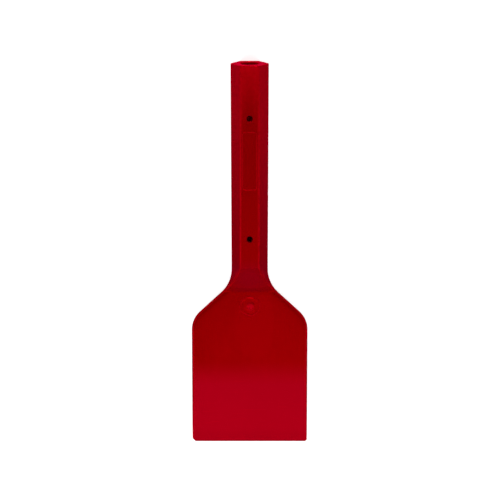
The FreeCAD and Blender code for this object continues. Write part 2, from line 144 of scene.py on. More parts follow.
def select_where(piece: Piece, kind: str, test: Callable[[Vector], bool]) -> int:
    """Select the parts of a piece in edit mode whose middle passes a test.

    Args:
        piece: The piece in edit mode.
        kind: VERT, EDGE or FACE.
        test: Takes the middle of a vertex, edge or face and says whether it is selected.

    Returns:
        How many parts are selected.
    """
    bpy.ops.mesh.select_mode(type=kind)
    bpy.ops.mesh.select_all(action="DESELECT")
    mesh = bmesh.from_edit_mesh(piece.data)
    count = 0
    for part in {"VERT": mesh.verts, "EDGE": mesh.edges, "FACE": mesh.faces}[kind]:
        corners = [part.co] if kind == "VERT" else [vertex.co for vertex in part.verts]
        if test(sum(corners, Vector()) / len(corners)):
            part.select_set(True)
            count += 1
    bmesh.update_edit_mesh(piece.data)
    return count


def apply_modifier(piece: Piece, kind: str, **settings: object) -> None:
    """Add a modifier to a piece, set it up and apply it.

    Args:
        piece: The piece to change.
        kind: The modifier's type.
        settings: The modifier's properties.
    """
    pick(piece)
    bpy.ops.object.modifier_add(type=kind)
    modifier = piece.modifiers[-1]
    for key, value in settings.items():
        setattr(modifier, key, value)
    bpy.ops.object.modifier_apply(modifier=modifier.name)


def carve(piece: Piece, cutter: Piece) -> None:
    """Take a cutter's space out of a piece and remove the cutter.

    Args:
        piece: The piece that loses material.
        cutter: A closed piece that reaches into it.
    """
    before = len(piece.data.polygons)
    apply_modifier(piece, "BOOLEAN", operation="DIFFERENCE", solver="EXACT", object=cutter)
    if len(piece.data.polygons) == before:
        raise RuntimeError(cutter.name + " takes nothing away")
    bpy.data.objects.remove(cutter)


def close_up(piece: Piece) -> None:
    """Merge a piece's doubles, point its faces outwards and leave edit mode.

    Args:
        piece: The piece, in edit mode or out of it.
    """
    pick(piece)
    bpy.ops.object.mode_set(mode="EDIT")
    bpy.ops.mesh.select_all(action="SELECT")
    bpy.ops.mesh.remove_doubles(threshold=WELD)
    bpy.ops.mesh.normals_make_consistent(inside=False)
    bpy.ops.object.mode_set(mode="OBJECT")


def paint_wear_and_highlight(piece: Piece, bare: float, reach: float) -> None:
    """Write how strongly each vertex sits on an outer edge, for the finish to paint edge wear and a
    painted highlight there.

    Edges round a parted face aren't real ones, and the front flat has none but its ridges.
    The bore's wall just inside its mouth is painted bright in full, as painted light.

    Args:
        piece: The closed piece, out of edit mode.
        bare: Half the width of the front that has no outer edge.
        reach: Half the tool's length.
    """
    mesh = bmesh.new()
    mesh.from_mesh(piece.data)

    def parted(face: bmesh.types.BMFace) -> bool:
        """Tell whether a face closes the piece where it was parted."""
        inside = abs(face.calc_center_median().y) < reach - MM
        return inside and abs(face.normal.y) > SQUARE

    heights = [vertex.co.z for vertex in mesh.verts]
    middle = (min(heights) + max(heights)) / 2
    shares = []
    for vertex in mesh.verts:
        on_flat = (abs(vertex.co.x) < bare and abs(vertex.co.y) < reach - MM
                   and any(abs(face.normal.z) > SQUARE for face in vertex.link_faces))
        bends = [0.0]
        for edge in vertex.link_edges:
            if not on_flat and not any(parted(face) for face in edge.link_faces):
                bends.append(edge.calc_face_angle_signed(0.0))
        off_axis = Vector((vertex.co.x, 0, vertex.co.z - middle))
        # Painted light: the bore's wall just inside its mouth gets the full share of the pale colour.
        painted_lit_mouth = vertex.co.y > reach - PAINTED_LIT_MOUTH and off_axis.dot(vertex.normal) < 0
        shares.append(1.0 if painted_lit_mouth else smooth_step(math.degrees(max(bends)), *WEAR_AND_HIGHLIGHT_BENDS))
    mesh.free()
    wear = piece.data.attributes.new(WEAR_AND_HIGHLIGHT, "FLOAT", "POINT")
    wear.data.foreach_set("value", shares)


def smooth(piece: Piece, crease: float) -> None:
    """Shade a piece smooth, with its flat faces true and its creases kept.

    Args:
        piece: The piece to shade.
        crease: The angle in degrees past which an edge stays sharp.
    """
    pick(piece)
    bpy.ops.object.shade_smooth_by_angle(angle=math.radians(crease))
    apply_modifier(piece, "WEIGHTED_NORMAL", mode="FACE_AREA", keep_sharp=True)


def smooth_step(value: float, low: float, high: float) -> float:
    """Return 0 below one value and 1 above another, eased between them."""
    share = min(max((value - low) / (high - low), 0.0), 1.0)
    return share * share * (3 - 2 * share)


def round_quarter(radius: float, count: int) -> Quarter:
    """Give a quarter of a circle for a ring.

    Args:
        radius: The circle's radius.
        count: How many points the quarter has.

    Returns:
        Points as (across, up) pairs.
    """
    step = math.pi / 2 / count
    return [(radius * math.cos(step * (i + 0.5)), radius * math.sin(step * (i + 0.5)))
            for i in range(count)]


@dataclass
class RingSweep:
    """A filled circle that is extruded along an axis, each new ring scaled to its own outline."""

    name: str
    axis: Axis
    middle: Pair
    piece: Piece = field(init=False)

    def trace(self, stations: Iterable[tuple[float, Quarter]]) -> None:
        """Add the first ring and extrude it from station to station.

        Args:
            stations: Each ring's place on the axis and its outline in one quarter, as
                (across, up) points from the middle.
        """
        (place, quarter), *others = stations
        bpy.ops.object.select_all(action="DESELECT")
        turn = math.pi / 4 / len(quarter)
        along_y = self.axis is Axis.Y
        bpy.ops.mesh.primitive_circle_add(
            vertices=4 * len(quarter), radius=quarter[0][0], fill_type="NGON",
            location=self._spot(place),
            rotation=(math.pi / 2, turn, 0) if along_y else (0, 0, turn))
        self.piece = start_piece(self.name)
        self._shape(place, quarter)
        along = self.axis.value[2]
        for place, quarter in others:
            mesh = bmesh.from_edit_mesh(self.piece.data)
            move = Vector()
            move[along] = place - self._ring(mesh)[0].co[along]
            bpy.ops.mesh.extrude_region_move(TRANSFORM_OT_translate={"value": move})
            self._shape(place, quarter)

    def finish(self) -> Piece:
        """Close the sweep and return the piece."""
        close_up(self.piece)
        return self.piece

    def _spot(self, place: float) -> Vector:
        """Find the ring's centre.

        Args:
            place: Where the ring stands on the axis.

        Returns:
            The centre.
        """
        across, up, along = self.axis.value
        spot = Vector()
        spot[across], spot[up] = self.middle
        spot[along] = place
        return spot

    def _ring(self, mesh: bmesh.types.BMesh) -> list[bmesh.types.BMVert]:
        """Sort the selected ring's vertices.

        Args:
            mesh: The edit mesh.

        Returns:
            The vertices, from the across axis to the up axis, so that mirrored ones are together.
        """
        across, up, _ = self.axis.value

        def angle(vertex: bmesh.types.BMVert) -> float:
            """Return how far round its quarter a vertex is."""
            return math.atan2(abs(vertex.co[up] - self.middle[1]),
                              abs(vertex.co[across] - self.middle[0]))

        return sorted((vertex for vertex in mesh.verts if vertex.select), key=angle)

    def _shape(self, place: float, quarter: Quarter) -> None:
        """Scale the selected ring, four mirrored vertices at a time, to an outline.

        Args:
            place: Where the ring stands on the axis.
            quarter: The outline in one quarter.
        """
        across, up, _ = self.axis.value
        mesh = bmesh.from_edit_mesh(self.piece.data)
        indices = [vertex.index for vertex in self._ring(mesh)]
        bpy.ops.mesh.select_mode(type="VERT")
        for group, (wide, high) in enumerate(quarter):
            mesh = self._select(indices[4 * group:4 * group + 4])
            corner = next(vertex.co for vertex in mesh.verts if vertex.select)
            factor = Vector((1, 1, 1))
            factor[across] = wide / abs(corner[across] - self.middle[0])
            factor[up] = high / abs(corner[up] - self.middle[1])
            bpy.ops.transform.resize(value=factor, center_override=self._spot(place))
        self._select(indices)
        bpy.ops.mesh.select_mode(type="FACE")

    def _select(self, indices: list[int]) -> bmesh.types.BMesh:
        """Select some vertices and nothing else.

        Args:
            indices: The vertices' indices.

        Returns:
            The edit mesh.
        """
        bpy.ops.mesh.select_all(action="DESELECT")
        mesh = bmesh.from_edit_mesh(self.piece.data)
        mesh.verts.ensure_lookup_table()
        for index in indices:
            mesh.verts[index].select_set(True)
        mesh.select_flush(True)
        bmesh.update_edit_mesh(self.piece.data)
        return mesh


# Form of the moulding ----------------------------------------------------------------------------


@dataclass
class Plan:
    """The tool's outline seen from the front: grip, flares, shoulders and blade."""

    open_end: float
    neck_start: float
    working_edge: float
    ridge_open: float
    blade_half: float
    ridge_neck: float = 11.65 * MM
    flare_lag: float = 3.0 * MM
    flare_round: float = 21.2 * MM
    flare_angle: float = math.radians(47)
    shoulder_round: float = 16.5 * MM
    corner_round: float = 1.7 * MM
    flare_start: float = field(init=False)
    flare_end: float = field(init=False)
    shoulder_start: float = field(init=False)
    shoulder_end: float = field(init=False)

    def __post_init__(self) -> None:
        """Work out where the arcs of the flared sides start and end."""
        sine, cosine = math.sin(self.flare_angle), math.cos(self.flare_angle)
        rounds = self.flare_round + self.shoulder_round
        flank = (self.blade_half - self.ridge_neck - rounds * (1 - cosine)) / sine
        self.flare_start = self.neck_start - self.flare_lag
        self.flare_end = self.flare_start - self.flare_round * sine
        self.shoulder_start = self.flare_end - flank * cosine
        self.shoulder_end = self.shoulder_start - self.shoulder_round * sine

    def half_width(self, place: float, inset: float = 0.0) -> float:
        """Give half the width of the outline, moved inwards.

        Args:
            place: Where along Y.
            inset: How far inside the outline, square to it.

        Returns:
            The distance from the tool's axis.
        """
        if place >= self.flare_start:
            return self.ridge_at(place) - inset
        centre = self.ridge_neck + self.flare_round
        radius = self.flare_round + inset
        cosine = math.cos(self.flare_angle)
        if place > self.flare_start - radius * math.sin(self.flare_angle):
            return centre - math.sqrt(radius ** 2 - (self.flare_start - place) ** 2)
        radius = self.shoulder_round - inset
        if place > self.shoulder_end + radius * math.sin(self.flare_angle):
            drop = self.flare_start - place
            run = drop - self.flare_round * math.sin(self.flare_angle)
            start = self.ridge_neck + self.flare_round * (1 - cosine)
            return start + run * math.tan(self.flare_angle) - inset / cosine
        centre = self.blade_half - self.shoulder_round
        if place > self.shoulder_end:
            return centre + math.sqrt(radius ** 2 - (place - self.shoulder_end) ** 2)
        into = self.working_edge + self.corner_round - place
        cut = self.corner_round - math.sqrt(self.corner_round ** 2 - max(into, 0.0) ** 2)
        return self.blade_half - cut - inset

    def ridge_at(self, place: float) -> float:
        """Give half the width across the grip's side ridges.

        Args:
            place: Where along Y.

        Returns:
            The distance from the tool's axis.
        """
        if place <= self.neck_start:
            return self.ridge_neck
        share = (self.open_end - place) / (self.open_end - self.neck_start)
        return self.ridge_open + share * (self.ridge_neck - self.ridge_open)

    def places(self) -> list[float]:
        """List the stations that the outline needs.

        Returns:
            Places along Y.
        """
        shoulder = [self.shoulder_end + self.shoulder_round * math.sin(angle)
                    for angle in even(0.0, self.flare_angle, steps=12)[:-1]]
        corner = [self.working_edge + self.corner_round * (1 - math.sin(angle))
                  for angle in even(0.0, math.pi / 2, steps=6)]
        return even(self.flare_start, self.shoulder_start, steps=18) + shoulder + corner


@dataclass
class SideProfile:
    """The tool's thickness along Y: grip, ramps, flat blade, taper and bevel."""

    neck_start: float
    blade_start: float
    taper_start: float
    working_edge: float
    grip_rise: float
    blade_rise: float
    bevel_rise: float = 0.9 * MM
    edge_rise: float = 0.45 * MM
    bevel_length: float = 8.0 * MM
    foot_round: float = 15 * MM
    foot_crease: float = math.radians(10)
    brow_round: float = 1.0 * MM
    taper_blend: float = 6.5 * MM
    bevel_blend: float = 0.7 * MM
    edge_round: float = 0.3 * MM
    foot_line: float = 0.06 * MM
    foot_run: float = field(init=False)
    foot_height: float = field(init=False)
    slope: float = field(init=False)
    brow: float = field(init=False)

    def __post_init__(self) -> None:
        """Work out the ramps' slope and the reach of the arcs at its foot and its brow."""
        self.foot_run = self.foot_round * math.sin(self.foot_crease)
        self.foot_height = self.foot_round * math.cos(self.foot_crease)
        length = self.neck_start - self.blade_start + self.foot_run
        rise = self.foot_height - (self.grip_rise - self.blade_rise)
        reach = math.hypot(length, rise)
        self.slope = math.asin(self.foot_round / reach) - math.atan2(rise, length)
        self.brow = self.brow_round * math.tan(self.slope / 2)

    def rise_at(self, place: float) -> float:
        """Give half the thickness at a place.

        Args:
            place: Where along Y.

        Returns:
            The height of the front surface above the parting plane.
        """
        if place >= self.neck_start + self.brow:
            return self.grip_rise
        if place > self.neck_start - self.brow * math.cos(self.slope):
            into = self.neck_start + self.brow - place
            return self.grip_rise - self.brow_round + math.sqrt(self.brow_round ** 2 - into ** 2)
        above_foot = place - self.blade_start + self.foot_run
        if above_foot > self.foot_round * math.sin(self.slope):
            return self.grip_rise - (self.neck_start - place) * math.tan(self.slope)
        if above_foot > self.foot_run:
            return (self.blade_rise + self.foot_height
                    - math.sqrt(self.foot_round ** 2 - above_foot ** 2))
        return self._lower_blade(place)

    def _lower_blade(self, place: float) -> float:
        """Give half the thickness below the ramps, blended into the taper and the bevel.

        Args:
            place: Where along Y.

        Returns:
            The height of the front surface above the parting plane.
        """
        bevel_start = self.working_edge + self.bevel_length
        taper = (self.blade_rise - self.bevel_rise) / (self.taper_start - bevel_start)
        bevel = (self.bevel_rise - self.edge_rise) / self.bevel_length
        rise = self.blade_rise
        rise -= taper * self._eased(self.taper_start - place, self.taper_blend)
        rise -= (bevel - taper) * self._eased(bevel_start - place, self.bevel_blend)
        into = max(self.working_edge + self.edge_round - place, 0.0)
        rise -= self.edge_round - math.sqrt(self.edge_round ** 2 - into ** 2)
        return rise

    @staticmethod
    def _eased(past: float, blend: float) -> float:
        """Ease the way past a crease.

        Args:
            past: How far past the crease a place is.
            blend: How far the easing reaches on each side.

        Returns:
            How far past it the place counts.
        """
        if past <= -blend:
            return 0.0
        if past >= blend:
            return past
        return (past + blend) ** 2 / (4 * blend)

    def places(self) -> list[float]:
        """List the stations that the profile needs.

        Returns:
            Places along Y.
        """
        foot = [self.blade_start - self.foot_run + self.foot_round * math.sin(angle)
                for angle in even(self.foot_crease, self.slope, steps=8)]
        edge = [self.working_edge + self.edge_round * (1 - math.sin(angle))
                for angle in even(0.0, math.pi / 2, steps=5)]
        found = foot + edge
        bevel_start = self.working_edge + self.bevel_length
        for crease, blend, steps in ((self.neck_start, self.brow, 4),
                                     (self.blade_start, self.foot_line, 1),
                                     (self.taper_start, self.taper_blend, 12),
                                     (bevel_start, self.bevel_blend, 4)):
            found += even(crease + blend, crease - blend, steps)
        return found


@dataclass
class Moulding:
    """The one-piece body of the tool, swept along Y, cored and drilled, then parted."""

    plan: Plan
    profile: SideProfile
    middle: float
    flat_half: float = 6.1 * MM
    land: float = 0.6 * MM
    ridge_round: float = 2.0 * MM
    flat_round: float = 1.1 * MM
    rim_round: float = 0.55 * MM
    shelf: float = 2.8 * MM
    flare_shelf: float = 6.0 * MM
    flare_crown: float = 0.32 * MM
    blade_crown: float = 0.03 * MM
    crown_blend: float = 8.0 * MM
    crown_growth: float = 9.0 * MM
    clipped_corner: float = 2.1 * MM
    land_share: float = 0.75
    ridge_share: float = 0.9
    arc_share: float = 0.4
    slant_lines: tuple[float, ...] = (0.06, 0.5, 0.94)
    flat_lines: tuple[float, ...] = (0.12, 0.3, 0.6, 1.0)
    arc_steps: int = 4
    ridge_steps: int = 2
    finest: float = 0.01 * MM
    past_ends: float = 1.0
    crease: float = 24.0
    draft: float = field(init=False)
    body: Piece = field(init=False)

    def __post_init__(self) -> None:
        """Work out the draft that carries the grip's slanted faces on into the blade."""
        self.draft = ((self.plan.ridge_neck - self.flat_half)
                      / (self.profile.grip_rise - self.land))

    def quarter_at(self, place: float, inset: float = 0.0) -> Quarter:
        """Draw a quarter of the section, from the side land round to the front flat.

        Args:
            place: Where along Y.
            inset: How far inside the surface, for the rounding of the open end.

        Returns:
            Points as (across, up) pairs.
        """
        rise = self.profile.rise_at(place)
        land = min(self.land, self.land_share * rise)
        ridge = self.plan.half_width(place)
        flat = self._width_above_land(place, rise - land)
        lean = math.atan2(ridge - flat, rise - land)
        turn = math.pi / 2 - lean
        crown, shelf = self._crown_at(place)
        edge = rise - crown
        slant = (edge - land) / math.cos(lean)
        longest = self.arc_share * slant
        ridge_run = min(self.ridge_round * math.tan(lean / 2), self.ridge_share * land, longest)
        ridge_round = ridge_run / math.tan(lean / 2)
        flat_run = min(self.flat_round * math.tan(turn / 2), longest)
        flat_round = flat_run / math.tan(turn / 2)

        drawn = [(ridge - ridge_round, land - ridge_run, ridge_round, angle)
                 for angle in even(0.0, lean, self.ridge_steps)]
        for share in self.slant_lines:
            run = ridge_run + share * (slant - flat_run - ridge_run)
            drawn.append((ridge - run * math.sin(lean), land + run * math.cos(lean), 0.0, lean))
        drawn += [(flat - flat_run, edge - flat_round, flat_round, angle)
                  for angle in even(lean, math.pi / 2, self.arc_steps)]
        for share in self.flat_lines:
            fallen = crown * (1 - share) ** 2
            drawn.append((flat - flat_run - share * shelf, rise - fallen, 0.0, math.pi / 2))
        return [(x + (radius - inset) * math.cos(angle), z + (radius - inset) * math.sin(angle))
                for x, z, radius, angle in drawn]

    def _crown_at(self, place: float) -> tuple[float, float]:
        """Give the fall of the front surface at its edge.

        Args:
            place: Where along Y.

        Returns:
            How far it falls off, and over what width.
        """
        plan = self.plan
        grown = smooth_step(plan.neck_start - place, 0.0, self.crown_growth)
        waned = smooth_step(plan.shoulder_end - place, -self.crown_blend, self.crown_blend)
        crown = grown * (self.flare_crown + waned * (self.blade_crown - self.flare_crown))
        return crown, self.shelf + grown * (self.flare_shelf - self.shelf)

    def _width_above_land(self, place: float, height: float) -> float:
        """Give half the width on the leaning side.

        Args:
            place: Where along Y.
            height: How far above the land.

        Returns:
            The distance from the tool's axis.
        """
        if place >= self.plan.neck_start:
            full = self.profile.grip_rise - self.land
            ridge = self.plan.ridge_at(place)
            return ridge - (ridge - self.flat_half) * height / full
        return self.plan.half_width(place, height * self.draft)

    def sweep(self) -> None:
        """Sweep the section from the open end to the working edge."""
        last = self.plan.open_end - self.rim_round
        stations = [(last + self.rim_round * math.cos(angle),
                     self.rim_round * (1 - math.sin(angle)))
                    for angle in even(0.0, math.pi / 2, self.arc_steps)]
        for place in sorted(self.plan.places() + self.profile.places(), reverse=True):
            if last - place > self.finest:
                stations.append((place, 0.0))
                last = place
        ring = RingSweep("moulding", Axis.Y, (0.0, self.middle))
        ring.trace((place, self.quarter_at(place, inset)) for place, inset in stations)
        self.body = ring.finish()
        self._clip_corner()

    def _clip_corner(self) -> None:
        """Cut the blade's corner at -X off at 45 degrees."""
        pick(self.body)
        bpy.ops.object.mode_set(mode="EDIT")
        bpy.ops.mesh.select_all(action="SELECT")
        spot = (self.clipped_corner - self.plan.blade_half, self.plan.working_edge, 0)
        bpy.ops.mesh.bisect(plane_co=spot, plane_no=(-1, -1, 0), use_fill=True, clear_outer=True,
                            threshold=WELD)
        bpy.ops.object.mode_set(mode="OBJECT")

    def core(self, radius: float, depth: float, mouth_round: float) -> None:
        """Core the grip out from its open end.

        Args:
            radius: The bore's radius.
            depth: How deep the bore goes.
            mouth_round: The rounding of its mouth.
        """
        end = self.plan.open_end
        rings = mouth_rings(end, radius, mouth_round)
        rings += [(end - 2 * PAINTED_LIT_MOUTH, radius), (end - depth + mouth_round, radius),
                  (end - depth, radius - mouth_round)]
        self._cut_round(RingSweep("bore_cutter", Axis.Y, (0.0, self.middle)), rings, count=20)

    def drill(self, radius: float, places: Iterable[float], rim_round: float) -> None:
        """Drill the cross holes through the front and back walls.

        Args:
            radius: The holes' radius.
            places: Where they are along Y.
            rim_round: The rounding of their rims.
        """
        rise = self.profile.grip_rise
        rings = mouth_rings(self.middle + rise, radius, rim_round)
        rings += mouth_rings(self.middle - rise, radius, rim_round, outwards=-1)[::-1]
        for place in places:
            self._cut_round(RingSweep("hole_cutter", Axis.Z, (0.0, place)), rings, count=10)

    def sink_round(self, place: float, radius: float, floor: float, rim_round: float) -> None:
        """Sink a round recess into the front of the blade.

        Args:
            place: The middle of the recess along Y.
            radius: Its radius.
            floor: The height of its floor.
            rim_round: The rounding of its rim.
        """
        rings = mouth_rings(self.middle + self.profile.blade_rise, radius, rim_round)
        rings.append((floor, radius))
        self._cut_round(RingSweep("recess_cutter", Axis.Z, (0.0, place)), rings, count=16)

    def _cut_round(self, cutter: RingSweep, rings: list[Pair], count: int) -> None:
        """Cut a round hole or recess.

        Args:
            cutter: The sweep to cut it with, not yet started.
            rings: The (place, radius) pairs that it goes through.
            count: How many points a quarter of each ring has.
        """
        cutter.trace((place, round_quarter(radius, count)) for place, radius in rings)
        carve(self.body, cutter.finish())

    def sink_panel(self, low: Vector, high: Vector, gap: float, corner: float) -> None:
        """Sink the name panel's recess into the front of the grip.

        Args:
            low: The panel's lowest corner.
            high: The panel's highest corner.
            gap: The witness line round the panel.
            corner: The panel's corner radius.
        """
        margin = Vector((gap, gap, 0))
        cutter = rounded_slab("panel_cutter", low - margin, high + margin, corner + gap)
        bpy.ops.object.mode_set(mode="OBJECT")
        carve(self.body, cutter)

    def part(self) -> dict[Region, Piece]:
        """Part the moulding at the frame's node boundaries.

        Returns:
            One closed piece for each region.
        """
        cuts = [self.plan.open_end + self.past_ends, self.profile.neck_start,
                self.profile.blade_start, self.profile.taper_start,
                self.plan.working_edge - self.past_ends]
        pieces = {}
        for region, high, low in zip(Region, cuts, cuts[1:]):
            pick(self.body)
            bpy.ops.object.duplicate()
            piece = start_piece(region.name.lower() + "_moulding")
            for place, upper in ((high, True), (low, False)):
                bpy.ops.mesh.select_all(action="SELECT")
                bpy.ops.mesh.bisect(plane_co=(0, place, 0), plane_no=(0, 1, 0), use_fill=True,
                                    clear_outer=upper, clear_inner=not upper, threshold=WELD)
            close_up(piece)
            smooth(piece, self.crease)
            pieces[region] = piece
        bpy.data.objects.remove(self.body)
        return pieces


def mouth_rings(face: float, radius: float, rounding: float, outwards: int = 1) -> list[Pair]:
    """Give the rings that cut a hole's rounded mouth, from outside the face to its wall.

    Args:
        face: The face's place on the hole's axis.
        radius: The hole's radius.
        rounding: The radius of the rounding between the face and the wall.
        outwards: 1 if the axis leaves the face towards the outside, -1 if it comes from there.

    Returns:
        Pairs of the place on the axis and the ring's radius there.
    """
    first = math.radians(20)
    clear = 0.1 * rounding
    run = (clear + rounding * (1 - math.cos(first))) / math.sin(first)
    rings = [(clear, radius + rounding * (1 - math.sin(first)) + run * math.cos(first))]
    rings += [(rounding * (math.cos(angle) - 1), radius + rounding * (1 - math.sin(angle)))
              for angle in even(first, math.pi / 2, steps=4)]
    return [(face + outwards * above, wide) for above, wide in rings]


def rounded_slab(name: str, low: Vector, high: Vector, corner: float) -> Piece:
    """Make a flat slab with rounded corners from a plane.

    Args:
        name: The piece's name.
        low: Its lowest corner.
        high: Its highest corner.
        corner: The radius of its corners.

    Returns:
        The closed slab, in edit mode with its top selected.
    """
    bpy.ops.object.select_all(action="DESELECT")
    bpy.ops.mesh.primitive_plane_add(size=1, location=((low.x + high.x) / 2,
                                                       (low.y + high.y) / 2, low.z))
    bpy.context.object.scale = (high.x - low.x, high.y - low.y, 1)
    piece = start_piece(name)
    bpy.ops.mesh.bevel(offset=corner, segments=6, profile=0.5, affect="VERTICES")
    bpy.ops.mesh.select_all(action="SELECT")
    bpy.ops.mesh.extrude_region_move(TRANSFORM_OT_translate={"value": (0, 0, high.z - low.z)})
    return piece


# Fitted regions ----------------------------------------------------------------------------------


@dataclass
class NamePanel:
    """The blank panel in the front of the grip, with a thin raised border."""

    low: Vector
    high: Vector
    corner: float
    edge_round: float = 0.1 * MM
    border: float = 0.45 * MM
    field_drop: float = 0.1 * MM
    crease: float = 35.0

    def build(self) -> Piece:
        """Build the panel.

        Returns:
            The finished piece.
        """
        piece = rounded_slab("name_plate", self.low, self.high, self.corner)
        bpy.ops.mesh.inset(thickness=self.border)
        bpy.ops.mesh.inset(thickness=self.edge_round, depth=-self.field_drop)
        middle, half = (self.low + self.high) / 2, (self.high - self.low) / 2

        def on_rim(point: Vector) -> bool:
            """Say whether an edge is on the outer rim of the top.

            Args:
                point: The edge's middle.

            Returns:
                Whether it is.
            """
            across = abs(point.x - middle.x) - half.x + self.corner
            along = abs(point.y - middle.y) - half.y + self.corner
            inside = (self.corner - math.hypot(max(across, 0.0), max(along, 0.0))
                      - min(max(across, along), 0.0))
            return abs(point.z - self.high.z) < WELD and inside < self.border / 2

        select_where(piece, "EDGE", on_rim)
        bpy.ops.mesh.bevel(offset=self.edge_round, segments=2, affect="EDGES")
        close_up(piece)
        smooth(piece, self.crease)
        return piece


@dataclass(frozen=True)
class FlowLine:
    """Part of a ring of the gate scar where the plastic folded up or sank as it set."""

    radius: float
    first: float
    last: float
    height: float
    slack: float = 0.06 * MM

    def holds(self, offset: Vector) -> bool:
        """Say whether a point is on the line.

        Args:
            offset: The point, from the scar's middle.

        Returns:
            Whether it is.
        """
        angle = math.degrees(math.atan2(offset.y, offset.x)) % 360
        near = abs(math.hypot(offset.x, offset.y) - self.radius) < self.slack
        return near and self.first <= angle <= self.last


@dataclass
class GateMark:
    """The round gate scar on the blade: a dished disc, flow lines and the cut stub."""

    centre: Vector
    radius: float
    floor: float
    peak: float
    disc: float = 0.42 * MM
    lip: float = 0.06 * MM
    dish: float = 0.09 * MM
    dish_radius: float = 6.4 * MM
    outer_ring: float = 6.1 * MM
    ring_step: float = 0.45 * MM
    stub_radius: float = 2.0 * MM
    stub_foot: float = 0.2 * MM
    stub_top: tuple[Pair, ...] = ((0.10 * MM, 1.95 * MM), (0.04 * MM, 1.7 * MM),
                                  (0.02 * MM, 1.2 * MM), (0.03 * MM, 0.5 * MM))
    stub_shift: Pair = (0.45 * MM, -0.1 * MM)
    stub_rough: float = 0.02 * MM
    quarter_points: int = 16
    lines: tuple[FlowLine, ...] = (
        FlowLine(6.1 * MM, 238, 318, 0.14 * MM),
        FlowLine(5.65 * MM, 128, 172, 0.05 * MM),
        FlowLine(5.65 * MM, 70, 104, 0.07 * MM),
        FlowLine(4.3 * MM, 128, 215, -0.11 * MM),
        FlowLine(4.3 * MM, 262, 322, 0.05 * MM),
        FlowLine(3.4 * MM, 15, 75, -0.06 * MM),
    )
    crease: float = 50.0

    def build(self) -> Piece:
        """Build the disc with its stub.

        Returns:
            The finished piece.
        """
        sweep = RingSweep("gate_scar", Axis.Z, (self.centre.x, self.centre.y))
        sweep.trace((place, round_quarter(radius, self.quarter_points))
                    for place, radius in self._section())
        piece = sweep.piece
        for line in self.lines:
            self._fold(piece, line)
        self._cut_stub(piece)
        sweep.finish()
        smooth(piece, self.crease)
        return piece

    def _section(self) -> list[tuple[float, float]]:
        """Give the disc's half section.

        Returns:
            Pairs of the height and the ring's radius there.
        """
        top, stub = self.floor + self.disc, self.stub_radius
        section = [(self.floor, self.radius), (top - self.lip, self.radius),
                   (top, self.radius - self.lip)]
        radius = self.outer_ring
        while radius > stub + self.ring_step:
            across = (self.dish_radius - radius) / (self.dish_radius - stub)
            section.append((top - self.dish * math.sin(math.pi * across), radius))
            radius -= self.ring_step
        section.append((top, stub + self.stub_foot))
        return section + [(self.peak - drop, radius) for drop, radius in self.stub_top]

    def _fold(self, piece: Piece, line: FlowLine) -> None:
        """Raise or sink the disc along a flow line, blended into its surroundings.

        Args:
            piece: The disc, in edit mode.
            line: The flow line.
        """
        def on_line(point: Vector) -> bool:
            """Say whether a vertex is on the line, on the disc's top."""
            return point.z > self.floor + WELD and line.holds(point - self.centre)

        if select_where(piece, "VERT", on_line) == 0:
            raise RuntimeError("no flow line at radius %.4f" % line.radius)
        self._push((0, 0, line.height), rings=1.4)

    def _cut_stub(self, piece: Piece) -> None:
        """Shift the stub off the disc's middle, and roughen its cut top.

        Args:
            piece: The disc, in edit mode.
        """
        shoulder = self.peak - self.stub_foot
        select_where(piece, "VERT", lambda point: point.z > shoulder)
        self._push((*self.stub_shift, 0), rings=4.0)
        select_where(piece, "VERT", lambda point: point.z > shoulder)
        bpy.ops.transform.vertex_random(offset=self.stub_rough, uniform=1.0, normal=0.0, seed=7)

    def _push(self, move: tuple[float, float, float], rings: float) -> None:
        """Move the selected vertices and blend the move into the disc round them.

        Args:
            move: The move.
            rings: How many rings of the disc the blend reaches over.
        """
        bpy.ops.transform.translate(value=move, use_proportional_edit=True,
                                    proportional_edit_falloff="SMOOTH",
                                    proportional_size=rings * self.ring_step,
                                    use_proportional_connected=True)


# Finishes ----------------------------------------------------------------------------------------


